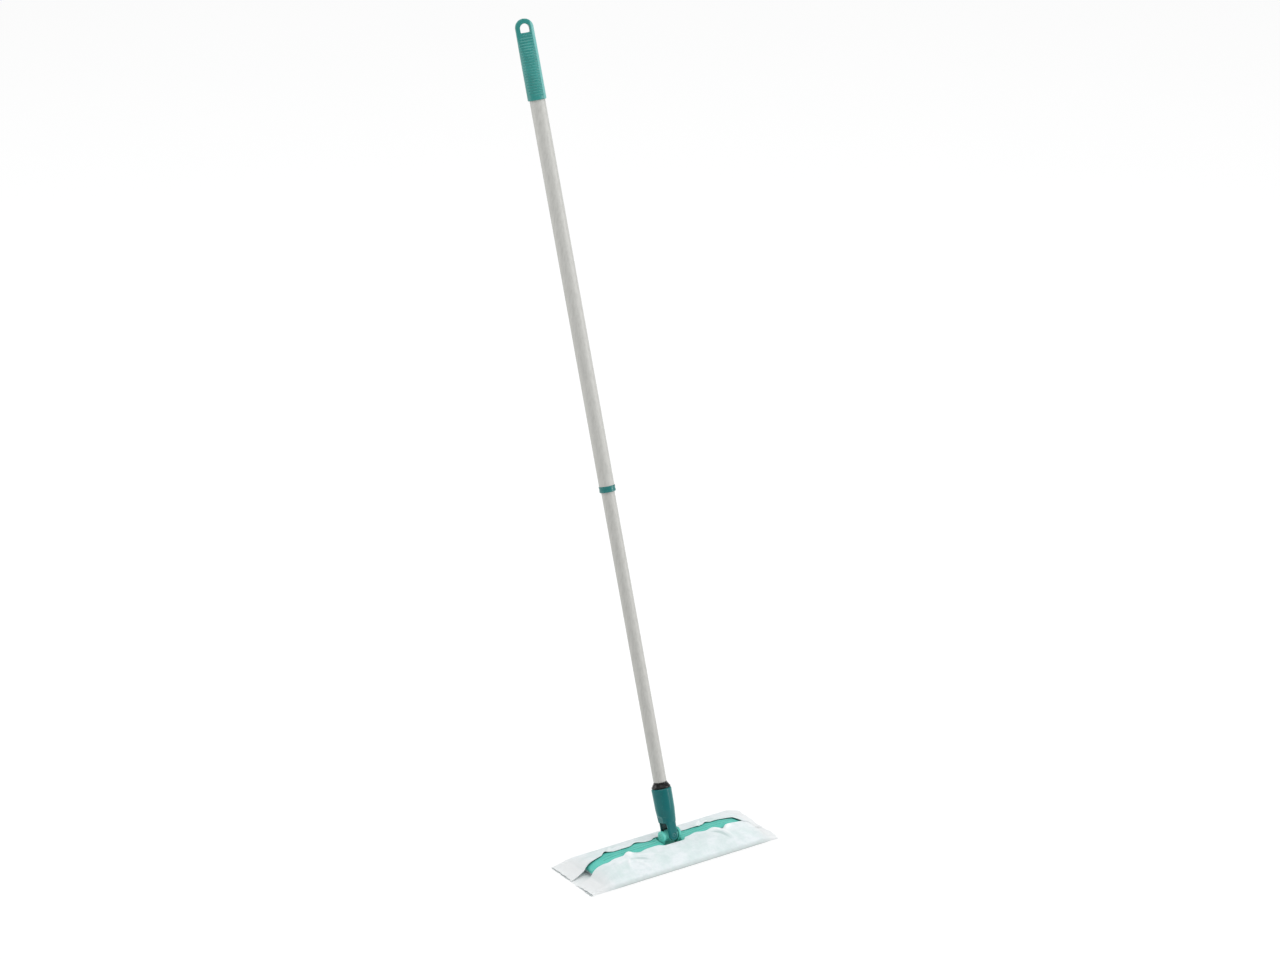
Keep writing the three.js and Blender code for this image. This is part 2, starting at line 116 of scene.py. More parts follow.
def apply_modifier(obj, kind, **settings):
    """Adds a modifier, and bakes its result into the mesh."""
    modifier = obj.modifiers.new(kind, kind)
    for key, value in settings.items():
        setattr(modifier, key, value)
    graph = bpy.context.evaluated_depsgraph_get()
    mesh = bpy.data.meshes.new_from_object(obj.evaluated_get(graph))
    obj.modifiers.clear()
    old = obj.data
    obj.data = mesh
    mesh.name = old.name
    bpy.data.meshes.remove(old)


def paint(mesh, name, values):
    """One number for each vertex, that a material can read by name."""
    layer = mesh.attributes.new(name, "FLOAT", "POINT")
    layer.data.foreach_set("value", np.asarray(values, dtype=np.float32))


def boolean(obj, other, operation):
    """Cuts, joins or crosses one solid with another, which is used up."""
    apply_modifier(obj, "BOOLEAN", operation=operation, object=other, solver="EXACT")
    bpy.data.objects.remove(other)
    return obj


def remeshed(obj, voxel, smooth):
    """One even skin over what may be several crossing solids, with its edges softened."""
    apply_modifier(obj, "REMESH", mode="VOXEL", voxel_size=voxel * MM, adaptivity=0)
    apply_modifier(obj, "SMOOTH", factor=0.5, iterations=smooth)
    return obj


def shade(obj, sharp_angle=38):
    """Smooth shading, with edges sharper than the angle left crisp."""
    mesh = obj.data
    work = bmesh.new()
    work.from_mesh(mesh)
    bmesh.ops.recalc_face_normals(work, faces=work.faces)
    limit = math.radians(sharp_angle)
    for edge in work.edges:
        edge.smooth = not (len(edge.link_faces) == 2 and edge.calc_face_angle(0) > limit)
    for face in work.faces:
        face.smooth = True
    work.to_mesh(mesh)
    work.free()
    return obj


def gaps_filled(obj):
    """Fills the small gaps that a boolean may leave between two nearly flat faces."""
    work = bmesh.new()
    work.from_mesh(obj.data)
    bmesh.ops.remove_doubles(work, verts=work.verts, dist=1e-7)
    bmesh.ops.holes_fill(work, edges=[edge for edge in work.edges if edge.is_boundary], sides=4)
    work.to_mesh(obj.data)
    work.free()
    return obj


def join(objects, name):
    """Several solids in one object, before a remesh makes one skin of them."""
    work = bmesh.new()
    for obj in objects:
        work.from_mesh(obj.data)
        bpy.data.objects.remove(obj)
    mesh = bpy.data.meshes.new(name)
    work.to_mesh(mesh)
    work.free()
    return linked(name, mesh)


def filleted(corners, steps=5):
    """A closed outline of (a, b, radius) corners, with each corner rounded by its radius."""
    outline = []
    count = len(corners)
    for i, (a, b, radius) in enumerate(corners):
        here = Vector((a, b))
        if radius <= 0:
            outline.append(here)
            continue
        before = Vector(corners[i - 1][:2]) - here
        after = Vector(corners[(i + 1) % count][:2]) - here
        half = before.angle(after) / 2
        reach = min(radius / math.tan(half), 0.49 * before.length, 0.49 * after.length)
        start, end = here + before.normalized() * reach, here + after.normalized() * reach
        for step in range(steps + 1):
            t = step / steps
            outline.append((1 - t) ** 2 * start + 2 * t * (1 - t) * here + t ** 2 * end)
    return outline


def turned(name, corners, place=HANDLE, steps=96):
    """A solid of revolution about Z from (radius, height, fillet) corners. Corners on the axis close it."""
    outline = filleted(corners)
    rings, vertices, faces = [], [], []
    for radius, height in outline:
        first = len(vertices)
        if radius < 1e-6:
            vertices.append((0, 0, height))
            rings.append([first] * steps)
            continue
        for k in range(steps):
            angle = 2 * math.pi * k / steps
            vertices.append((radius * math.cos(angle), radius * math.sin(angle), height))
        rings.append([first + k for k in range(steps)])
    closed = outline[0][0] > 1e-6
    pairs = list(zip(rings, rings[1:])) + ([(rings[-1], rings[0])] if closed else [])
    for low, high in pairs:
        for k in range(steps):
            n = (k + 1) % steps
            face = [low[k], low[n], high[n], high[k]]
            face = [v for i, v in enumerate(face) if v not in face[:i]]
            if len(face) > 2:
                faces.append(face)
    obj = new_object(name, vertices, faces)
    return settle(obj, place)


def settle(obj, place):
    """Millimetres in a piece's own frame become metres in the row frame."""
    obj.data.transform(place @ Matrix.Scale(MM, 4))
    return obj


def stacked(name, rings, place):
    """A solid from rings of points, one above the other, closed by a flat face at both ends."""
    count = len(rings[0])
    faces = []
    for a in range(0, (len(rings) - 1) * count, count):
        b = a + count
        for k in range(count):
            n = (k + 1) % count
            faces.append([a + k, a + n, b + n, b + k])
    faces.append(list(range(count))[::-1])
    faces.append([(len(rings) - 1) * count + k for k in range(count)])
    return settle(new_object(name, [point for ring in rings for point in ring], faces), place)


def slab(name, outline, low, high, bevel, place, steps=3):
    """A convex outline in X and Z, thick along Y from low to high, with rounded edges."""
    points = [Vector(p) for p in outline]
    centre = sum(points, Vector((0, 0))) / len(points)
    layers = []
    for end in (0, 1):
        for step in range(steps + 1):
            t = step / steps * math.pi / 2
            inset = bevel * (1 - math.sin(t)) if end == 0 else bevel * (1 - math.cos(t))
            depth = low + bevel * (1 - math.cos(t)) if end == 0 else high - bevel * (1 - math.sin(t))
            layers.append((inset, depth))
    rings = []
    for inset, depth in layers:
        drawn_in = [p - (p - centre).normalized() * inset for p in points]
        rings.append([(q.x, depth, q.y) for q in drawn_in])
    return shade(stacked(name, rings, place))


def arc(centre, radius, start, end, steps):
    """Points on a circle, angles in degrees."""
    found = []
    for i in range(steps + 1):
        angle = math.radians(start + (end - start) * i / steps)
        found.append((centre[0] + radius * math.cos(angle), centre[1] + radius * math.sin(angle)))
    return found


def rod(name, radius, low, high, place, fillet=0.3, steps=64):
    corners = [(0, low, 0), (radius, low, fillet), (radius, high, fillet), (0, high, 0)]
    return turned(name, corners, place, steps)


def web_block(name, outline, low, high):
    """A flat block with any outline in X and Z, thick along Y, in the handle's frame."""
    count = len(outline)
    vertices = [(a, low, b) for a, b in outline] + [(a, high, b) for a, b in outline]
    faces = [list(range(count)), [count + k for k in range(count)][::-1]]
    faces += [[k, (k + 1) % count, count + (k + 1) % count, count + k] for k in range(count)]
    return shade(settle(new_object(name, vertices, faces), HANDLE))


def smoothstep(value, low, high):
    t = np.clip((value - low) / (high - low), 0, 1)
    return t * t * (3 - 2 * t)


def bell(value, centre, width):
    return np.exp(-((value - centre) / width) ** 2)


ABOUT_X = placed(ACROSS, ALONG, X_AXIS)             # a turned piece's own Z lies along the tilt axis
ABOUT_Y = placed(ALONG, X_AXIS, ACROSS)             # and here along the swing axis

# ---- materials (places and depths in metres) ----


def colour(r, g, b):
    """A colour as a screen shows it, from 0 to 255, as Blender's linear values."""
    def linear(c):
        c /= 255
        return c / 12.92 if c <= 0.04045 else ((c + 0.055) / 1.055) ** 2.4
    return (linear(r), linear(g), linear(b), 1)


class Finish:
    """A node material being built, with short ways to add nodes and wires."""

    def __init__(self, name, **fixed):
        self.material = bpy.data.materials.new(name)
        self.material.use_nodes = True
        self.tree = self.material.node_tree
        self.shader = self.tree.nodes["Principled BSDF"]
        for key, value in fixed.items():
            self.shader.inputs[key.replace("_", " ")].default_value = value
        self.place = self.node("ShaderNodeTexCoord").outputs["Object"]

    def node(self, kind, **settings):
        made = self.tree.nodes.new(kind)
        for key, value in settings.items():
            setattr(made, key, value)
        return made

    def wire(self, source, target):
        self.tree.links.new(source, target)

    def stretched(self, scale):
        node = self.node("ShaderNodeMapping")
        node.inputs["Scale"].default_value = scale
        self.wire(self.place, node.inputs["Vector"])
        return node.outputs["Vector"]

    def noise(self, scale, detail, rough=0.55, stretch=None):
        node = self.node("ShaderNodeTexNoise")
        node.inputs["Scale"].default_value = scale
        node.inputs["Detail"].default_value = detail
        node.inputs["Roughness"].default_value = rough
        self.wire(self.stretched(stretch) if stretch else self.place, node.inputs["Vector"])
        return node.outputs["Fac"]

    def ramp(self, value, low, high, start=0.0, end=1.0):
        node = self.node("ShaderNodeMapRange")
        for key, number in zip(("From Min", "From Max", "To Min", "To Max"), (low, high, start, end)):
            node.inputs[key].default_value = number
        self.wire(value, node.inputs["Value"])
        return node.outputs["Result"]

    def blend(self, value, first, second):
        """A colour between two, by a value. Each is another colour output, or red, green and blue to 255."""
        node = self.node("ShaderNodeMix", data_type="RGBA")
        self.wire(value, node.inputs["Factor"])
        for slot, given in (("A", first), ("B", second)):
            socket = [s for s in node.inputs if s.name == slot and s.type == "RGBA"][0]
            if isinstance(given, tuple):
                socket.default_value = colour(*given)
            else:
                self.wire(given, socket)
        return [s for s in node.outputs if s.type == "RGBA"][0]

    def maths(self, operation, first, second):
        node = self.node("ShaderNodeMath", operation=operation)
        for socket, given in zip(node.inputs, (first, second)):
            if isinstance(given, (int, float)):
                socket.default_value = given
            else:
                self.wire(given, socket)
        return node.outputs["Value"]

    def bump(self, height, distance, strength=1.0, under=None):
        node = self.node("ShaderNodeBump")
        node.inputs["Strength"].default_value = strength
        node.inputs["Distance"].default_value = distance
        self.wire(height, node.inputs["Height"])
        if under is not None:
            self.wire(under, node.inputs["Normal"])
        return node.outputs["Normal"]

    def shade_in_gaps(self, reach, clear=0.75, shut=0.2, depth=0.85):
        """Share of painted shade: 0 in the open, and up to depth in gaps and corners, by what else lies
        within reach.
        """
        node = self.node("ShaderNodeAmbientOcclusion", samples=8)
        node.inputs["Distance"].default_value = reach
        return self.ramp(node.outputs["AO"], clear, shut, 0, depth)

    def painted(self, name):
        """The numbers that paint() left on the mesh under this name."""
        return self.node("ShaderNodeAttribute", attribute_name=name).outputs["Fac"]

    def set(self, key, source):
        self.wire(source, self.shader.inputs[key])

    def mixed(self, share, first, second):
        """Makes the surface a mix of two shaders, with this share of the second."""
        node = self.node("ShaderNodeMixShader")
        if isinstance(share, float):
            node.inputs["Fac"].default_value = share
        else:
            self.wire(share, node.inputs["Fac"])
        self.wire(first, node.inputs[1])
        self.wire(second, node.inputs[2])
        self.wire(node.outputs["Shader"], self.tree.nodes["Material Output"].inputs["Surface"])


def moulded(name, base, shaded, rough, gloss=0.0, wear_and_highlight=None, shine=0.4, painted_shade=None, side=None, **more):
    """Moulded plastic: slight colour drift, a fine grain and uneven gloss.

    worn is the colour of rubbed edges, also a painted highlight on rims; grime that of painted shade in gaps,
    with how far it looks for them; and side that of a strip painted lighter as a highlight, with a darker
    line along its edge.
    """
    made = Finish(name, Coat_Weight=gloss, Coat_Roughness=0.12, Specular_IOR_Level=shine, **more)
    grain = 0.02 * MM
    drift = made.ramp(made.noise(38, 4), 0.3, 0.7)
    tone = made.blend(drift, base, shaded)
    # a strip painted lighter, a painted highlight down one side, with a darker line along its edge
    if side:
        tone = made.blend(made.painted("side"), tone, side)
        tone = made.blend(made.painted("strip_edge"), tone, shaded)
    # rubbed edges get a lighter colour, which also stands as a painted highlight on rims
    if wear_and_highlight:
        edge = made.ramp(made.node("ShaderNodeNewGeometry").outputs["Pointiness"], 0.53, 0.62, 0, 0.5)
        patchy = made.maths("MULTIPLY", edge, made.ramp(made.noise(160, 4), 0.35, 0.7))
        tone = made.blend(patchy, tone, wear_and_highlight)
    # painted shade: a darker colour in gaps and corners, by ambient occlusion
    if painted_shade:
        tone = made.blend(made.shade_in_gaps(*painted_shade[1:]), tone, painted_shade[0])
    made.set("Base Color", tone)
    made.set("Roughness", made.ramp(made.noise(90, 5, 0.6), 0.3, 0.7, rough - 0.06, rough + 0.09))
    fine = made.bump(made.noise(2600, 2), grain)
    made.set("Normal", made.bump(made.noise(220, 2), grain * 3, 0.6, fine))
    return made.material


def coated_tube(name, base, shaded):
    """Powder-coated steel tube: orange peel, and faint lighter and darker streaks along its length."""
    made = Finish(name, Metallic=0.04, Coat_Weight=0.03, Coat_Roughness=0.25, Specular_IOR_Level=0.22)
    lengthwise_streaks = made.ramp(made.noise(420, 4, 0.6, stretch=(1, 1, 0.02)), 0.42, 0.7)
    made.set("Base Color", made.blend(lengthwise_streaks, base, shaded))
    made.set("Roughness", made.ramp(made.noise(120, 4, 0.6, stretch=(1, 1, 0.1)), 0.3, 0.7, 0.36, 0.5))
    made.set("Normal", made.bump(made.noise(900, 3), 0.00003, 0.7))
    return made.material


def pressed_waves(made):
    """Shallow wavy bands across the cloth, pressed in when it was made."""
    waves = made.node("ShaderNodeTexWave", wave_type="BANDS", bands_direction="X", wave_profile="SIN")
    for key, value in (("Scale", 60), ("Distortion", 3.5), ("Detail", 1), ("Detail Scale", 1.2)):
        waves.inputs[key].default_value = value
    made.wire(made.place, waves.inputs["Vector"])
    return waves.outputs["Fac"]


def cloth_tone(made, at, backed, fuzz):
    """White past the plate's ends. Over the plate a teal-grey tint is painted in where the plate would show
    through, with streaks, painted highlights on fold ridges and painted shade in fold troughs, painted shade
    on the lower sides, a darker painted shadow line along the bottom, and painted shade in gaps.
    """
    white = made.blend(fuzz, (248, 249, 250), (241, 243, 244))
    # the tint over the plate is painted, standing in for the plate showing through, with more of it in random
    # patches
    show_through_tint = made.blend(fuzz, (237, 243, 245), (227, 235, 238))
    show_through_patches = made.maths("MULTIPLY", backed, made.ramp(made.noise(42, 3, 0.6), 0.42, 0.66, 0, 0.7))
    tone = made.blend(show_through_patches, made.blend(backed, white, show_through_tint), (208, 226, 224))
    streaks = made.ramp(made.noise(105, 3, 0.6, stretch=(0.7, 1.3, 1)), 0.5, 0.68, 0, 0.55)
    tone = made.blend(made.maths("MULTIPLY", backed, streaks), tone, (211, 224, 225))
    # painted shade on the cloth's lower sides over the plate, and a darker painted shadow line along the
    # bottom
    edge = made.maths("MULTIPLY", backed, made.ramp(at.outputs["Z"], 0.009, 0.004))
    bottom_shadow_line = made.maths("MULTIPLY", backed, made.ramp(at.outputs["Z"], 0.0034, 0.0014, 0, 0.9))
    bottom_shadow_line = made.maths("MULTIPLY", bottom_shadow_line, made.ramp(at.outputs["X"], -0.126, -0.108))
    tone = made.blend(edge, tone, (206, 217, 216))
    tone = made.blend(bottom_shadow_line, tone, (160, 168, 168))
    # painted highlights on the fold ridges, and painted shade in their troughs
    tone = made.blend(made.ramp(made.painted("fold"), 0.4, 2.2, 0, 0.85), tone, (252, 253, 254))
    tone = made.blend(made.ramp(made.painted("fold"), -0.15, -1.3, 0, 0.75), tone, (184, 203, 202))
    # painted shade in gaps and under the folds over the plate
    gap_shade = made.maths("MULTIPLY", backed, made.shade_in_gaps(0.006, 0.6, 0.25, 0.6))
    return made.blend(gap_shade, tone, (184, 195, 195))


def non_woven(name):
    """White non-woven cloth: tangled fibres, pressed waves, and a little light coming through."""
    made = Finish(name, Roughness=0.95, Sheen_Weight=0.25, Sheen_Roughness=0.6, Specular_IOR_Level=0.15)
    fibres = made.noise(1500, 6, 0.7, stretch=(1, 0.35, 1))
    crossing = made.noise(1200, 5, 0.7, stretch=(0.4, 1, 1))
    tangle = made.maths("ADD", fibres, crossing)
    at = made.node("ShaderNodeSeparateXYZ")
    made.wire(made.place, at.inputs["Vector"])
    backed = made.ramp(made.maths("ABSOLUTE", at.outputs["X"], 0.0), 0.142, 0.118)
    made.set("Base Color", cloth_tone(made, at, backed, made.ramp(tangle, 0.7, 1.3)))
    soft = made.bump(tangle, 0.00010, 0.8)
    made.set("Normal", made.bump(pressed_waves(made), 0.00012, 0.5, soft))
    through = made.node("ShaderNodeBsdfTranslucent")
    through.inputs["Color"].default_value = colour(238, 244, 243)
    made.mixed(made.ramp(backed, 0, 1, 0.26, 0.1), made.shader.outputs["BSDF"], through.outputs["BSDF"])
    return made.material


def foamed(name, base, shaded):
    """Closed-cell foam: small pits over soft mottling."""
    made = Finish(name, Roughness=0.92)
    cells = made.node("ShaderNodeTexVoronoi")
    cells.inputs["Scale"].default_value = 1400
    made.wire(made.place, cells.inputs["Vector"])
    made.set("Base Color", made.blend(made.ramp(made.noise(300, 4), 0.3, 0.7), base, shaded))
    made.set("Normal", made.bump(cells.outputs["Distance"], 0.0002, 0.8))
    return made.material


MATERIALS = {
    # the dark colour with a reach is painted shade in the pocket and the joint's gaps
    "plate_plastic": moulded("plate plastic", (93, 196, 182), (82, 188, 174), 0.36, 0.1,
                             wear_and_highlight=(150, 228, 216), painted_shade=((24, 96, 88), 0.0035)),
    # near-black painted shade in the fork's hollow and gaps, and a lighter painted highlight on rims
    "socket_plastic": moulded("socket plastic", (12, 102, 103), (6, 95, 97), 0.2, 0.12,
                              wear_and_highlight=(96, 178, 168), shine=0.2, Sheen_Weight=0.4,
                              Sheen_Roughness=0.4, Sheen_Tint=colour(96, 220, 208),
                              painted_shade=((0, 8, 9), 0.016, 0.8, 0.42, 1)),
    "swing_pin_plastic": moulded("swing pin plastic", (14, 106, 107), (8, 97, 99), 0.3),
    "collar_plastic": moulded("collar plastic", (22, 114, 112), (16, 106, 104), 0.24, 0.16,
                              wear_and_highlight=(120, 200, 190)),
    # near-black painted shade in the cone's grooves
    "adapter_plastic": moulded("adapter plastic", (12, 12, 13), (7, 7, 8), 0.2, 0.0,
                               shine=0.34, wear_and_highlight=(64, 64, 66),
                               painted_shade=((1, 1, 1), 0.003, 0.8, 0.4, 0.9)),
    # a lighter strip painted down its side as a highlight, and painted shade between the ribs
    "grip_plastic": moulded("grip plastic", (36, 135, 129), (28, 124, 118), 0.36, 0.08,
                            wear_and_highlight=(120, 190, 184), shine=0.5, side=(104, 172, 168),
                            painted_shade=((10, 84, 80), 0.002, 0.8, 0.4, 0.6)),
    "pin_plastic": moulded("pin plastic", (112, 205, 190), (94, 190, 175), 0.36, 0.1),
    "gripper_rubber": moulded("gripper rubber", (52, 150, 138), (44, 134, 124), 0.62),
    "lock_nylon": moulded("lock nylon", (226, 226, 218), (214, 214, 206), 0.45),
    "painted_tube": coated_tube("tube coating", (190, 190, 186), (178, 178, 174)),
    # the lower tube's coating is the upper one's painted a little darker, as painted shade towards the bottom
    "lower_tube_shaded": coated_tube("lower tube coating painted darker", (187, 187, 183), (175, 175, 171)),
    "cloth_fabric": non_woven("cloth fabric"),
    "pad_foam": foamed("pad foam", (176, 190, 190), (160, 176, 177)),
}


def finish_as(obj, slot, body=None, nodes=(), look=None):
    """Gives a piece the material named by its slot or look, its body, and hides the CAD nodes that it stands
    for.
    """
    obj.data.materials.clear()
    obj.data.materials.append(MATERIALS[look or slot])
    if body:
        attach(obj, body)
    if nodes:
        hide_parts(*nodes)
    return obj


# ---- the head plate ----


def dome_height(x, y, slack=0.0):
    """Height of the plate's top, without its pocket. With slack, the dome ends that far past the plate."""
    past = np.clip((np.abs(x) - PLATE["flat"]) / (PLATE["half_x"] + slack - PLATE["flat"]), 0, 1)
    lengthways = np.sqrt(1 - past ** 2)
    across = 1 - np.clip(np.abs(y) / PLATE["half_y"], 0, 1) ** PLATE["crown"]
    return PLATE["edge"] + (PLATE["ridge"] - PLATE["edge"]) * lengthways * across


def pocket_depth_share(x, y):
    """1 on the pocket's floor and 0 outside it, with steep walls between."""
    r = POCKET["corner"]
    qx, qy = np.abs(x) - (POCKET["half_x"] - r), np.abs(y) - (POCKET["half_y"] - r)
    outside = np.hypot(np.maximum(qx, 0), np.maximum(qy, 0)) + np.minimum(np.maximum(qx, qy), 0) - r
    return 1 - smoothstep(outside, -POCKET["draft"], 0.2)


def plate_top(x, y):
    """Height of the plate's top with its long grooves and its pocket."""
    height = dome_height(x, y)
    for at in GROOVES["at"]:
        across = 1 - smoothstep(np.abs(y - at), 0.3, GROOVES["half"])
        ends = smoothstep(np.abs(x), GROOVES["from_x"] - 1, GROOVES["from_x"] + 1)
        ends = ends * (1 - smoothstep(np.abs(x), GROOVES["to_x"] - 1, GROOVES["to_x"] + 1))
        height = height - GROOVES["depth"] * across * ends
    share = pocket_depth_share(x, y)
    return height * (1 - share) + POCKET["floor"] * share


def refined(half, coarse, fine_places, reach, fine):
    """Places from -half to half, close together near the fine places on either side."""
    found, x = [0.0], 0.0
    while x < half:
        near = any(abs(x - place) < reach for place in fine_places)
        x = min(half, x + (fine if near else coarse))
        found.append(x)
    return np.array([-v for v in found[:0:-1]] + found)


def plate_grid(columns, rows, inset=0.0):
    """X and Y of a grid that fills the plate's rounded rectangle. Its middle columns stay straight."""
    r, straight = PLATE["corner"], RIM["straight_x"]
    y = rows[:, None] * (1 - inset / PLATE["half_y"])
    into_corner = np.clip(np.abs(rows[:, None]) - (PLATE["half_y"] - r), 0, r)
    pulled = r - np.sqrt(np.maximum(0, r ** 2 - into_corner ** 2))
    width = (PLATE["half_x"] - pulled - inset) / PLATE["half_x"]
    x = columns[None, :]
    outer = np.clip((np.abs(x) - straight) / (PLATE["half_x"] - straight), 0, 1)
    x = np.sign(x) * (np.abs(x) - outer * (PLATE["half_x"] * (1 - width)))
    return x, np.broadcast_to(y, x.shape)


def plate_shell():
    """The plate as a thin dome, open underneath. Its grid is finer at the grooves, pocket sides and rim."""
    columns = refined(PLATE["half_x"], 3.0, fine_places=(18.4, 24, 112, 128, 131), reach=2.2, fine=0.45)
    rows = refined(PLATE["half_y"], 2.4, fine_places=(0, 6, 12.3, 46.5), reach=1.6, fine=0.4)
    top_x, top_y = plate_grid(columns, rows)
    top_z = plate_top(top_x, top_y)
    low_x, low_y = plate_grid(columns, rows, RIM["wall"])
    under = dome_height(top_x, top_y) - RIM["wall"]
    share = pocket_depth_share(top_x / POCKET["under_x"], top_y / POCKET["under_y"])
    under = under * (1 - share) + (POCKET["floor"] - RIM["wall"]) * share
    low_z = np.maximum(PLATE["base"] + RIM["lip"], under)
    high, wide = top_x.shape
    size = high * wide
    around = [(r, 0) for r in range(high)] + [(high - 1, c) for c in range(1, wide)]
    around += [(r, wide - 1) for r in range(high - 2, -1, -1)] + [(0, c) for c in range(wide - 2, 0, -1)]
    vertices = np.stack([top_x, top_y, top_z], -1).reshape(-1, 3).tolist()
    vertices += np.stack([low_x, low_y, low_z], -1).reshape(-1, 3).tolist()
    rim, lip = len(vertices), len(vertices) + len(around)
    vertices += [(top_x[p], top_y[p], PLATE["base"]) for p in around]
    vertices += [(low_x[p], low_y[p], PLATE["base"]) for p in around]
    faces = []
    for r in range(high - 1):
        for c in range(wide - 1):
            a, b = r * wide + c, (r + 1) * wide + c
            faces.append([a, a + 1, b + 1, b])
            faces.append([size + a, size + b, size + b + 1, size + a + 1])
    for k, (r, c) in enumerate(around):
        n = (k + 1) % len(around)
        here, there = r * wide + c, around[n][0] * wide + around[n][1]
        faces.append([here, there, rim + n, rim + k])
        faces.append([rim + k, rim + n, lip + n, lip + k])
        faces.append([lip + k, lip + n, size + there, size + here])
    return shade(settle(new_object("plate_shell", vertices, faces), ROW))


def head_plate():
    """The shell with its gripper holes, its two lugs, and the tilt pins' bores through them."""
    plate = plate_shell()
    slope = math.atan(float(dome_height(0.0, GRIPPER["y"] - 1.0) - dome_height(0.0, GRIPPER["y"] + 1.0)) / 2)
    for sx in (-1, 1):
        for sy in (-1, 1):
            seat = Vector((sx * GRIPPER["x"], sy * GRIPPER["y"], GRIPPER["height"])) * MM
            place = Matrix.Translation(seat) @ Matrix.Rotation(-sy * slope, 4, "X")
            boolean(plate, rod("hole", GRIPPER["hole"], -12, 12, place), "DIFFERENCE")
    for side in (-1, 1):
        boolean(plate, plate_lug(side), "UNION")
    for side in (-1, 1):
        middle = side * (LUG["inner"] + LUG["outer"]) / 2
        boolean(plate, rod("bore", PIN["bore"], middle - 3, middle + 3, UPRIGHT_X, 0), "DIFFERENCE")
    return finish_as(shade(gaps_filled(plate), 32), "plate_plastic", "head", ["head_plate"])


UPRIGHT_X = placed(Vector((0, 1, 0)), Vector((0, 0, 1)), X_AXIS)
LUG_PLACE = placed(Vector((0, 1, 0)), -X_AXIS, Vector((0, 0, 1)))   # outline in Y and Z, thick along X


def plate_lug(side):
    """One lug of the joint: round, on a narrower neck that stands on the pocket's floor."""
    foot = POCKET["floor"] - PIVOT.z / MM - 0.6
    neck, radius = LUG["neck"], LUG["radius"]
    low_angle = math.degrees(math.acos(neck / radius))
    outline = [(neck, foot)] + arc((0, 0), radius, -low_angle, 180 + low_angle, 32) + [(-neck, foot)]
    low, high = sorted((-side * LUG["inner"], -side * LUG["outer"]))
    return slab("lug", outline, low, high, LUG["bevel"], LUG_PLACE)


# ---- the joint ----


def knuckle():
    """Two crossed rods in one skin, with a blind bore in each of the four ends."""
    long_way = rod("knuckle_x", KNUCKLE["radius"], -KNUCKLE["half_x"], KNUCKLE["half_x"], ABOUT_X, 1.2)
    short_way = rod("knuckle_y", KNUCKLE["radius"], -KNUCKLE["half_y"], KNUCKLE["half_y"], ABOUT_Y, 0.8)
    block = remeshed(join([long_way, short_way], "knuckle"), 0.3, 4)
    floor, past = PIN["inner_end"] - 0.3, 14
    for place in (ABOUT_X, ABOUT_Y):
        for low, high in ((-past, -floor), (floor, past)):
            boolean(block, rod("bore", PIN["bore"], low, high, place, 0), "DIFFERENCE")
    return finish_as(shade(block, 40), "plate_plastic", "knuckle", ["knuckle_block"])


def pin_pair(kind, names, place, outer, slot, look=None):
    """The two stub pins of one hinge. The inner ends are in the knuckle, and the outer ones are dimpled."""
    for side, name in zip((-1, 1), names):
        low, high = sorted((side * outer, side * PIN["inner_end"]))
        pin = rod(f"{kind}_stub_{name}", PIN["radius"], low, high, place, 0.5)
        low, high = sorted((side * (outer - PIN["dimple_depth"]), side * (outer + 1)))
        boolean(pin, rod("dimple", PIN["dimple"], low, high, place, 0), "DIFFERENCE")
        finish_as(shade(pin), slot, "knuckle", [f"{kind}_pin_{name}"], look)


def socket_body():
    """The fork's round top, with a bore for the adapter, cut flat on both sides below its waist."""
    top, rim, bore, foot = SOCKET["top"], SOCKET["rim"], SOCKET["bore"], SOCKET["foot_radius"]
    chamfer, floor = 1.4, SOCKET["bore_floor"]
    body = turned("socket_body", [(0, FORK["crotch"], 0), (foot, FORK["crotch"], 1.0),
                                  (SOCKET["waist_radius"], SOCKET["waist"], 12), (rim, top - chamfer, 0.5),
                                  (rim - chamfer, top, 0.3), (bore + 0.3, top, 0.3), (bore, floor, 0),
                                  (0, floor, 0)])
    x, bend, high = SOCKET["side_x"], SOCKET["side_round"], SOCKET["side_top"]
    low, beyond = FORK["crotch"] - 5, 24
    for side in (-1, 1):
        outline = [(side * x, low)] + [(side * a, b) for a, b in arc((x + bend, high), bend, 180, 90, 12)]
        outline += [(side * beyond, high + bend), (side * beyond, low)]
        boolean(body, web_block("side", outline, -30, 30), "DIFFERENCE")
    return body


def fork_arm(side):
    """One arm and the two webs that flare out from it into the body, each trimmed to its round envelope."""
    half, flare, crotch, buried = FORK["half"], FORK["flare"], FORK["crotch"], 24
    low, high = sorted((side * FORK["inner"], side * FORK["outer"]))
    shaft = arc((0, 0), half, 180, 360, 32) + [(half, 14), (half, buried), (-half, buried), (-half, 14)]
    arm = slab("arm", shaft, low, high, 0.7, HANDLE)
    parts = [boolean(arm, rod("envelope", FORK["round"], -9, 30, HANDLE, 0, 128), "INTERSECT")]
    for way in (-1, 1):
        web = arc((way * (half + flare), crotch - flare), flare, 90, 90 + way * 90, 8)
        inner_x = way * (half - 2)
        web += [(inner_x, crotch - flare), (inner_x, crotch + 1), (way * (half + flare), crotch + 1)]
        block = web_block("web", web, low, high)
        envelope = rod("envelope", SOCKET["foot_radius"], 10, 30, HANDLE, 0, 128)
        parts.append(boolean(block, envelope, "INTERSECT"))
    return parts


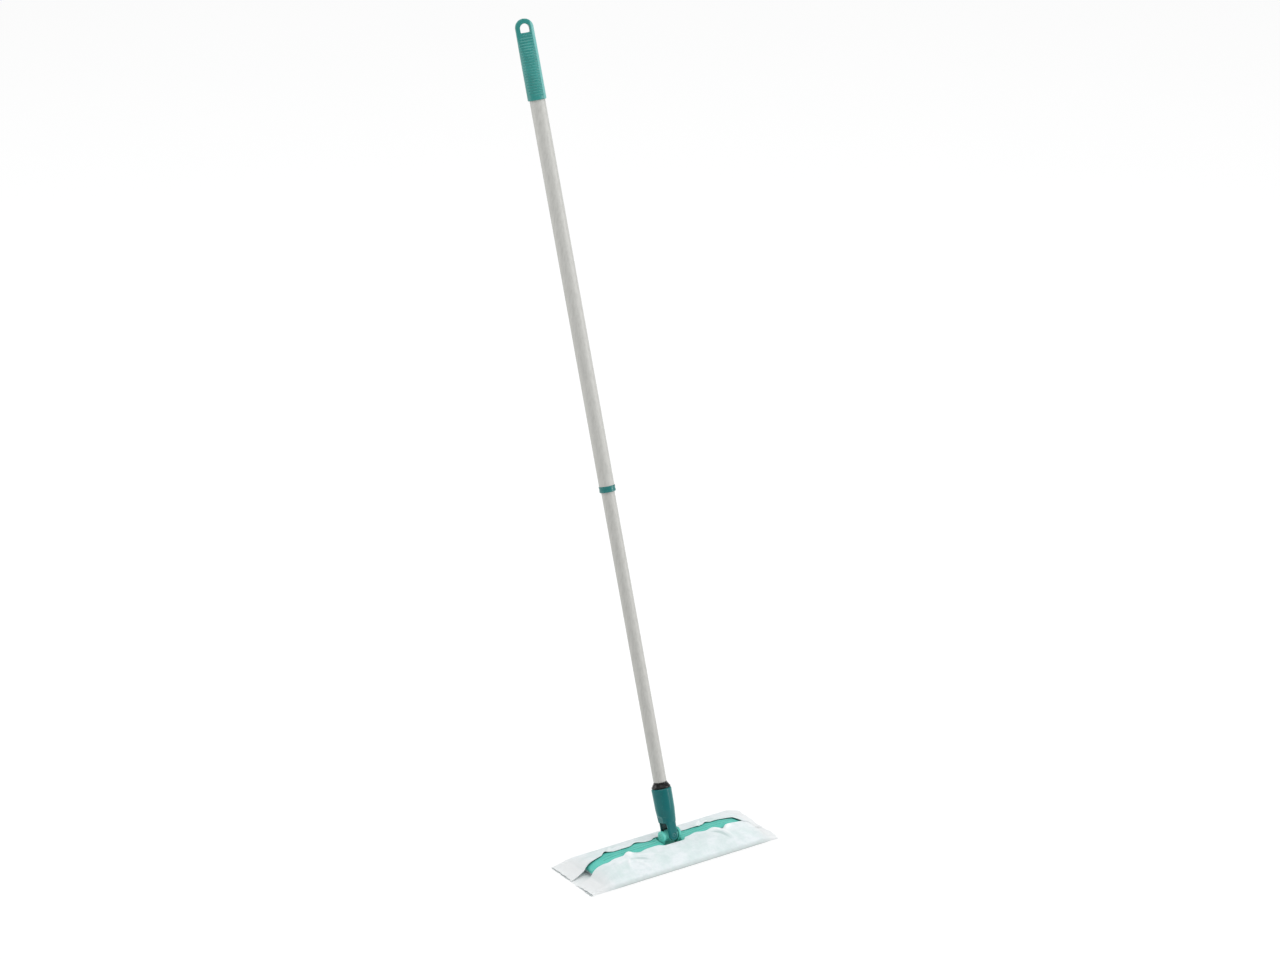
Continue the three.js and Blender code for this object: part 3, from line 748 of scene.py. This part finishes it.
def joint_socket():
    """Socket and fork in one skin, with the swing pins' bore through both arms."""
    solids = [socket_body(), *fork_arm(-1), *fork_arm(1)]
    fork = remeshed(join(solids, "socket_fork"), 0.36, 5)
    boolean(fork, rod("bore", PIN["bore"], -20, 20, ABOUT_Y, 0), "DIFFERENCE")
    return finish_as(shade(fork, 42), "socket_plastic", "lower_handle", ["joint_socket"])


def tube_adapter():
    """Black plug: a stem in the socket, a grooved cone on its rim, and a spigot in the tube."""
    bore, foot, seat, shelf, top = (ADAPTER[key] for key in ("bore", "foot", "seat", "shelf", "top"))
    stem = [(bore, foot, 0.3), (ADAPTER["stem"] - 0.5, foot, 0.4), (ADAPTER["stem"], foot + 2, 0.4),
            (ADAPTER["stem"], seat, 0)]
    cone = [(ADAPTER["base"], seat, 0.3), (ADAPTER["bulge"], seat + 0.7, 0.3), (ADAPTER["base"], 70.9, 0.3),
            (ADAPTER["groove"], 71.2, 0.2), (11.3, 73.9, 0.4), (ADAPTER["cone_top"], 74.6, 0.3)]
    rim = [(ADAPTER["neck"], 74.9, 0.2), (ADAPTER["neck"], 75.6, 0.2), (ADAPTER["bead"], 75.8, 0.1),
           (ADAPTER["bead"], shelf, 0.2)]
    spigot = [(ADAPTER["spigot"], shelf, 0), (ADAPTER["spigot"], top - 1, 0.5),
              (ADAPTER["spigot"] - 0.6, top, 0.3), (bore, top, 0.3)]
    adapter = shade(turned("adapter_cone", stem + cone + rim + spigot))
    return finish_as(adapter, "adapter_plastic", "lower_handle", ["tube_adapter"])


# ---- the handle ----


def lower_tube():
    """The thinner tube, with its lower edge rolled in over the adapter."""
    bore, radius, foot, top = (LOWER_TUBE[key] for key in ("bore", "radius", "foot", "top"))
    corners = [(bore, foot, 0.1), (bore + 0.2, foot, 0.1), (radius, foot + LOWER_TUBE["rolled"], 1.2),
               (radius, top, 0.25), (bore, top, 0.2)]
    tube = shade(turned("lower_tube_shell", corners))
    # its coating is painted a little darker than the upper tube's, as painted shade
    return finish_as(tube, "painted_tube", "lower_handle", ["lower_tube"], "lower_tube_shaded")


def upper_tube():
    bore, radius, foot, top = (UPPER_TUBE[key] for key in ("bore", "radius", "foot", "top"))
    corners = [(bore, foot, 0.2), (radius, foot, 0.2), (radius, top, 0.2), (bore, top, 0.2)]
    tube = shade(turned("upper_tube_shell", corners))
    return finish_as(tube, "painted_tube", "upper_handle", ["upper_tube"])


def tube_collar():
    """Ring over the upper tube's end, with a bead round each edge."""
    bore, seat, radius, bead = (COLLAR[key] for key in ("bore", "seat", "radius", "bead"))
    foot, floor, top = COLLAR["foot"], COLLAR["floor"], COLLAR["top"]
    lower_bead = [(bore, foot, 0.3), (11.3, foot, 0.5), (bead, 497.2, 0.4), (bead, 498.6, 0.3),
                  (radius, 499.0, 0.2)]
    upper_bead = [(radius, 502.6, 0.2), (bead, 503.0, 0.3), (bead, 504.3, 0.3), (11.45, top, 0.2)]
    corners = lower_bead + upper_bead + [(seat, top, 0), (seat, floor, 0), (bore, floor, 0.2)]
    ring = shade(turned("collar_ring", corners))
    return finish_as(ring, "socket_plastic", "upper_handle", ["tube_collar"], "collar_plastic")


def section_half_depth(s):
    """Half the grip's depth through the eye's axis: round below, thinning to the flat loop."""
    t = smoothstep(s, GRIP_SIZE["taper_from"], GRIP_SIZE["taper_to"])
    return GRIP_SIZE["radius"] * (1 - t) + GRIP_SIZE["thick"] / 2 * t


def grip_body():
    """Sections stacked up the grip, each between an ellipse and a rounded rectangle."""
    bottom, top, taper, loop = (GRIP_SIZE[key] for key in ("bottom", "top", "taper_from", "half_loop"))
    heights = np.concatenate([np.linspace(bottom, 1148, 70), np.linspace(1149, top, 30)])
    steps = 72
    rings = []
    for s in heights:
        half = GRIP_SIZE["radius"] if s < taper else loop + 0.25 * (1 - smoothstep(s, taper, 1140))
        over = s - (top - loop)
        if over > 0:
            half = math.sqrt(max(0.02, loop ** 2 - over ** 2))
        depth = float(section_half_depth(s))
        power = 2 + 1.6 * float(smoothstep(s, GRIP_SIZE["squared_from"], GRIP_SIZE["squared_to"]))
        foot = 0.6 * (1 - min(1, (s - bottom) / 1.2)) ** 2
        ring = []
        for k in range(steps):
            angle = 2 * math.pi * k / steps
            c, d = math.cos(angle), math.sin(angle)
            reach = (abs(c) ** power + abs(d) ** power) ** (-1 / power)
            ring.append(((half - foot) * c * reach, (depth - foot) * d * reach, s))
        rings.append(ring)
    return stacked("grip_handle", rings, GRIP)


def grip():
    """Hand grip with a D-shaped eye through its flat top and a bore for the tube's end."""
    body = grip_body()
    sides, bore, low = EYE["half"], GRIP_SIZE["bore"], GRIP_SIZE["bottom"] - 5
    outline = [(-sides, EYE["bottom"]), (sides, EYE["bottom"])] + arc((0, EYE["arch"]), sides, 0, 180, 24)
    boolean(body, slab("eye", outline, -20, 20, 0.01, GRIP), "DIFFERENCE")
    boolean(body, rod("bore", bore, low, GRIP_SIZE["bore_top"], GRIP, 0), "DIFFERENCE")
    remeshed(body, 0.55, 7)
    rib(body)
    return finish_as(shade(body, 60), "grip_plastic", "upper_handle", ["grip"])


def rib(body):
    """Raises cross ribs on the grip's front and back, in a long rounded panel beside a plain strip. Marks the
    strip, which the material paints lighter as a highlight, and a darker line along its edge.
    """
    back = np.array(GRIP.inverted())
    mesh = body.data
    count = len(mesh.vertices)
    place = np.zeros(count * 3)
    mesh.vertices.foreach_get("co", place)
    normal = np.zeros(count * 3)
    mesh.vertices.foreach_get("normal", normal)
    place, normal = place.reshape(-1, 3), normal.reshape(-1, 3)
    turn = back[:3, :3]
    own = (place @ turn.T + back[:3, 3]) / MM
    facing = normal @ turn.T
    middle, reach = (RIBS["first"] + RIBS["last"]) / 2, (RIBS["last"] - RIBS["first"]) / 2
    along = (own[:, 2] - middle) / reach
    half = RIBS["half_width"] * np.sqrt(np.clip(1 - np.abs(along) ** 10, 0, 1))
    inside = (1 - smoothstep(-own[:, 0], half - 1.4, half)) * (np.abs(along) < 1)
    strip = smoothstep(own[:, 0], RIBS["strip"], RIBS["strip"] + 1.2)
    inside = inside * (1 - strip)
    past_bore = own[:, 2] > GRIP_SIZE["bore_top"] + 0.7
    on_skin = (np.hypot(own[:, 0], own[:, 1]) > GRIP_SIZE["bore"] + 0.65) | past_bore
    inside = inside * smoothstep(np.abs(facing[:, 1]), 0.2, 0.4) * on_skin
    wave = 0.5 - 0.5 * np.cos(2 * math.pi * (own[:, 2] - RIBS["first"]) / RIBS["pitch"])
    lift = RIBS["height"] * inside * (wave ** 0.7 - 0.75)
    place = place + normal * (lift * MM)[:, None]
    # the plain strip down the side is painted lighter, a painted highlight, with a darker line along its edge
    paint(mesh, "side", strip)
    paint(mesh, "strip_edge", 4 * strip * (1 - strip))
    mesh.vertices.foreach_set("co", place.ravel())
    mesh.update()


# ---- soft pieces ----


def sole_pad():
    """Foam pad under the plate, as large as the frame's, with softened edges."""
    low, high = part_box("sole_pad")
    half = (high - low) / 2 / MM
    corner = PLATE["corner"] - 1
    outline = []
    for cx, cy, start in ((1, 1, 0), (-1, 1, 90), (-1, -1, 180), (1, -1, 270)):
        outline += arc((cx * (half.x - corner), cy * (half.y - corner)), corner, start, start + 90, 10)
    middle = (low + high) / 2
    place = placed(X_AXIS, Vector((0, 0, -1)), Vector((0, 1, 0)), middle)
    pad = slab("foam_sole", outline, -half.z, half.z, 1.1, place, 4)
    finish_as(pad, "pad_foam", "head", ["sole_pad"])


# Tongues and notches in the flaps' free edges. Each is a place in x, a width, and how far it moves the edge.
FRONT_EDGE = [(-110, 6, -2.0), (-76, 5.5, 4.4), (-58, 7, -3.0), (-18, 8, -2.0), (40, 9, 2.4), (67, 5, 2.0),
              (81, 6, -5.6)]
BACK_EDGE = [(-99, 6.5, 7.0), (-48, 9, 5.8), (55, 5, -2.4), (70, 4.5, 3.8)]


def flap_edges(x):
    """Y of the cloth's two free edges on top of the plate, front and back."""
    wander = 0.35 * np.sin(x / 5.3 + 1)
    front, back = -8.5 + wander, 10.3 - wander
    for middle, width, move in FRONT_EDGE:
        front = front + move * bell(x, middle, width)
    for middle, width, move in BACK_EDGE:
        back = back + move * bell(x, middle, width)
    back = back - 2.6 * smoothstep(x, 84, 110)
    left, right, far_right = smoothstep(-x, 128, 164), smoothstep(x, 108, 122), smoothstep(x, 112, 122)
    front = front * (1 - right) - 6.5 * right - 3.0 * left
    back = back * (1 - far_right) - 10.0 * far_right - 7.0 * left
    front_gap = smoothstep(x, -24, -17) * (1 - smoothstep(x, 15.5, 20.5))
    back_gap = 1 - smoothstep(np.abs(x), 17, 24)
    clear = CLOTH["fork_clear"]
    return front * (1 - front_gap) - clear * front_gap, back * (1 - back_gap) + (clear + 0.3) * back_gap


def cloth_cover(x, y, back_side):
    """Height of the cloth's middle over the plate, and past the plate's ends, where it lies nearly flat."""
    over = dome_height(x, y, CLOTH["slack"]) + 0.4 + CLOTH["thick"] / 2
    end = np.where(x < 0, -CLOTH["left"], CLOTH["right"])
    off = smoothstep(np.abs(x), PLATE["half_x"] - 6, end + 2)
    low = 0.9 + 2.8 * smoothstep(np.abs(y + 5), 2, 36)
    height = over * (1 - off) + np.minimum(over, low) * off
    over_front_flap = back_side * smoothstep(x, 108, 116) * (1 - smoothstep(y, -4, 3))
    return height + 0.9 * over_front_flap


# Ridges (and, where the height is negative, troughs) that the cloth has where it is pushed into the grippers.
# Each is (x, y) of its middle, its height, its length and width, and the direction it runs in, in degrees.
PUCKERS = [
    (-75, -8.5, 3.4, 5.0, 3.8, 20), (-83, -23, 1.5, 13.0, 2.2, 56), (-64, -23, -1.8, 11.0, 2.4, -22),
    (-60, -17, 1.3, 13.0, 2.4, -14), (-79, -19, -1.8, 3.2, 3.0, 0), (-66, -33, 1.1, 14.0, 2.6, -48),
    (-95, -20, 1.1, 12.0, 2.6, 12), (-40, -24, 0.8, 16.0, 2.4, -20), (-50, -36, 0.8, 12.0, 2.4, 30),
    (69, -12.5, 2.8, 7.0, 2.3, -24), (72.5, -21, -3.0, 11.0, 2.4, -46), (90, -14, 2.6, 7.0, 3.2, 30),
    (83, -27, 1.2, 10.0, 2.6, -66), (96, -28, 0.8, 13.0, 3.2, -38), (60, -22, 0.8, 12.0, 2.8, -8),
    (81, -14, -1.6, 3.0, 3.0, 0),
    (-98, 17, 1.8, 7.0, 2.8, 8), (-88, 22, 1.4, 10.0, 2.2, 62), (-80, 27, -1.0, 5.0, 3.0, 30),
    (-76, 18, 0.8, 9.0, 2.6, -20), (-48, 18, 0.9, 12.0, 3.0, 0),
    (56, 14, 2.3, 7.0, 2.0, 54), (62, 19, 2.1, 8.0, 2.0, 62), (60, 16, -1.2, 6.0, 1.8, 58),
    (71, 16, 1.5, 6.0, 2.8, 10), (80, 24, -1.0, 5.0, 3.0, -20), (90, 20, 0.8, 12.0, 3.0, -24),
]


def folds_at(x, y):
    """Puffs, folds and creases round the four places where the cloth is pushed into a gripper."""
    bend = 0.012
    total = np.zeros_like(x)
    for middle_x, middle_y, height, length, width, degrees in PUCKERS:
        c, d = math.cos(math.radians(degrees)), math.sin(math.radians(degrees))
        along = (x - middle_x) * c + (y - middle_y) * d
        aside = (y - middle_y) * c - (x - middle_x) * d
        aside = aside + bend * along ** 2
        total += height * np.exp(-(along / length) ** 2 - (aside / width) ** 2)
    return total


def slack_waves(x, y):
    """Slow unevenness of cloth that isn't stretched tight, with fainter, finer creases on it."""
    wave = np.sin(x / 14 + 0.9 * np.sin(y / 11)) * np.sin(y / 7.5 + 0.9 * np.sin(x / 19) + 1)
    fine = np.sin(x / 6.3 + y / 5.1 + 2 * np.sin(x / 27)) * np.sin(y / 4.4 - x / 12)
    small = np.sin(x / 3.1 - y / 4.0 + 2.5 * np.sin(y / 9)) * np.sin(x / 8.7 + y / 2.9)
    return 0.26 * (wave + 1) + 0.15 * (fine + 1) + 0.07 * (small + 1)


def cloth_section(x, count):
    """The cloth's path at x, as count points from its front edge round to its back one, and its length."""
    front, back = (float(v) for v in flap_edges(np.array(x)))
    half = (CLOTH["width"] - CLOTH["thick"]) / 2
    end = -CLOTH["left"] if x < 0 else CLOTH["right"]
    off = float(smoothstep(abs(x), PLATE["half_x"] - 4, end + 2))
    points = []
    for sign, edge in ((-1, front), (1, back)):
        rim = half + sign * CLOTH["centre_y"] - 0.8 * off * math.sin(x / 9.0 + sign)
        y = np.linspace(edge, sign * CLOTH["shoulder"], 44)
        flat_x = np.full_like(y, x)
        z = cloth_cover(flat_x, y, 1.0 if sign > 0 else 0.0)
        fade = 1 - 0.9 * smoothstep(np.abs(y), 36, CLOTH["shoulder"])
        z = z + (np.maximum(folds_at(flat_x, y), -0.3) + slack_waves(flat_x, y)) * fade
        low = 1 - 0.6 * off
        down = [(46.6, 9.95 * low), (rim - 1.6, 9.2 * low), (rim - 0.35, 7.9 * low), (rim, 6.0 * low),
                (rim, 3.2 * low), (rim - 0.4, 1.6 * low), (rim - 1.5, 0.6), (rim - 3.2, 0.25)]
        side = list(zip(y.tolist(), z.tolist())) + [(sign * across, height) for across, height in down]
        points += side if sign < 0 else side[::-1]
    path = np.array(points)
    lengths = np.concatenate([[0], np.cumsum(np.hypot(*np.diff(path, axis=0).T))])
    even = np.linspace(0, lengths[-1], count)
    section = np.stack([np.interp(even, lengths, path[:, 0]), np.interp(even, lengths, path[:, 1])], -1)
    return section, lengths[-1]


def cleaning_cloth():
    """The wrap, section by section, with ragged ends that are pulled in where the cloth is folded over."""
    across, spacing = 150, 1.6
    stations = np.linspace(CLOTH["left"], CLOTH["right"], int((CLOTH["right"] - CLOTH["left"]) / spacing) + 1)
    vertices, widths, folds = [], [], []
    for x in stations:
        section, width = cloth_section(float(x), across)
        widths.append(width)
        upper = smoothstep(section[:, 1], 8.0, 11.0)
        folds += list(folds_at(np.full(across, x), section[:, 0]) * upper)
        for k, (y, z) in enumerate(section):
            v = k / (across - 1)
            ragged = 0.5 * math.sin(v * 41) + 0.4 * math.sin(v * 97 + 1)
            bow = math.sin(math.pi * v)
            pull = 2.6 * bow if x > 0 else bow - 2.6 * float(smoothstep(y, 20.0, 50.0))
            from_end = abs(x - (CLOTH["left"] if x < 0 else CLOTH["right"]))
            shift = (ragged + (pull if z > 1 else 0)) * math.exp(-from_end / 10)
            vertices.append((x + (shift if x < 0 else -shift), y, z))
    faces = []
    for i in range(len(stations) - 1):
        for k in range(across - 1):
            a, b = i * across + k, (i + 1) * across + k
            faces.append([a, a + 1, b + 1, b])
    cloth = settle(new_object("wrapped_cloth", vertices, faces), ROW)
    # fold heights, which the cloth's material turns into painted highlights on ridges and painted shade in
    # troughs
    paint(cloth.data, "fold", folds)
    apply_modifier(cloth, "SMOOTH", factor=0.5, iterations=2)
    apply_modifier(cloth, "SOLIDIFY", thickness=CLOTH["thick"] * MM, offset=0)
    finish_as(shade(cloth, 70), "cloth_fabric", "head", ["cleaning_cloth"])
    width = float(np.mean(widths)) * MM


# ---- camera, floor and light ----


def camera():
    """Seen from the front left, a little above, with a long lens."""
    azimuth, pitch = math.radians(33.66), math.radians(22.68)
    level = math.cos(pitch)
    forward = Vector((math.sin(azimuth) * level, math.cos(azimuth) * level, -math.sin(pitch)))
    aim, distance = Vector((-0.0353, 0.0224, 0.573)), 6.0
    data = bpy.data.cameras.new("camera")
    data.lens, data.sensor_width = 123.6, 36
    obj = linked("camera", data)
    obj.location = aim - forward * distance
    obj.rotation_euler = forward.to_track_quat("-Z", "Y").to_euler()
    bpy.context.scene.camera = obj


def area_light(name, place, aim, size, power):
    data = bpy.data.lights.new(name, "AREA")
    data.shape, data.size, data.size_y = "RECTANGLE", size[0], size[1]
    data.energy = power
    obj = linked(name, data)
    obj.location = place
    obj.rotation_euler = (Vector(aim) - Vector(place)).to_track_quat("-Z", "Y").to_euler()


def studio():
    """A white paper floor that glows enough to stay white, a white room, and three large lights."""
    floor = new_object("floor", [(-9, -9, 0), (9, -9, 0), (9, 9, 0), (-9, 9, 0)], [[0, 1, 2, 3]])
    paper = Finish("floor paper", Roughness=0.9, Specular_IOR_Level=0.0)
    paper.set("Base Color", paper.blend(paper.noise(3, 2), (250, 250, 250), (246, 247, 247)))
    glow = paper.node("ShaderNodeEmission")
    glow.inputs["Strength"].default_value = 1.06
    paper.mixed(0.25, glow.outputs["Emission"], paper.shader.outputs["BSDF"])
    floor.data.materials.append(paper.material)
    floor.location.z = -0.0002
    world = bpy.data.worlds.new("studio")
    world.use_nodes = True
    background = world.node_tree.nodes["Background"]
    background.inputs["Color"].default_value = (1, 1, 1, 1)
    background.inputs["Strength"].default_value = 0.55
    bpy.context.scene.world = world
    area_light("overhead", (0, 0.3, 3.6), (0, 0.3, 0), (4, 4), 80)
    area_light("key", (3.7, -3.4, 1.6), (0, 0.1, 0.5), (2.4, 3.0), 108)
    area_light("fill", (-3.5, 2.9, 1.5), (0, 0.1, 0.5), (2.0, 3.0), 42)
    bpy.context.scene.view_settings.view_transform = "Standard"


def kept_nodes():
    """The grippers and the lock's parts are the frame's own, with their edges rounded."""
    for name, obj in frame["nodes"].items():
        if name.startswith(("cloth_gripper", "lock_")):
            finish_as(obj, "gripper_rubber" if name.startswith("cloth_gripper") else "lock_nylon")
            obj.modifiers.new("weld", "WELD").merge_threshold = 0.01 * MM
            rounding = obj.modifiers.new("rounding", "BEVEL")
            rounding.width, rounding.segments, rounding.limit_method = 0.25 * MM, 2, "ANGLE"


# ---- put it together ----

camera()
studio()
head_plate()
sole_pad()
cleaning_cloth()
knuckle()
joint_socket()
tube_adapter()
lower_tube()
upper_tube()
tube_collar()
grip()
pin_pair("tilt", ("left", "right"), ABOUT_X, LUG["outer"], "pin_plastic")
pin_pair("swing", ("front", "back"), ABOUT_Y, FORK["outer"], "socket_plastic", "swing_pin_plastic")
kept_nodes()
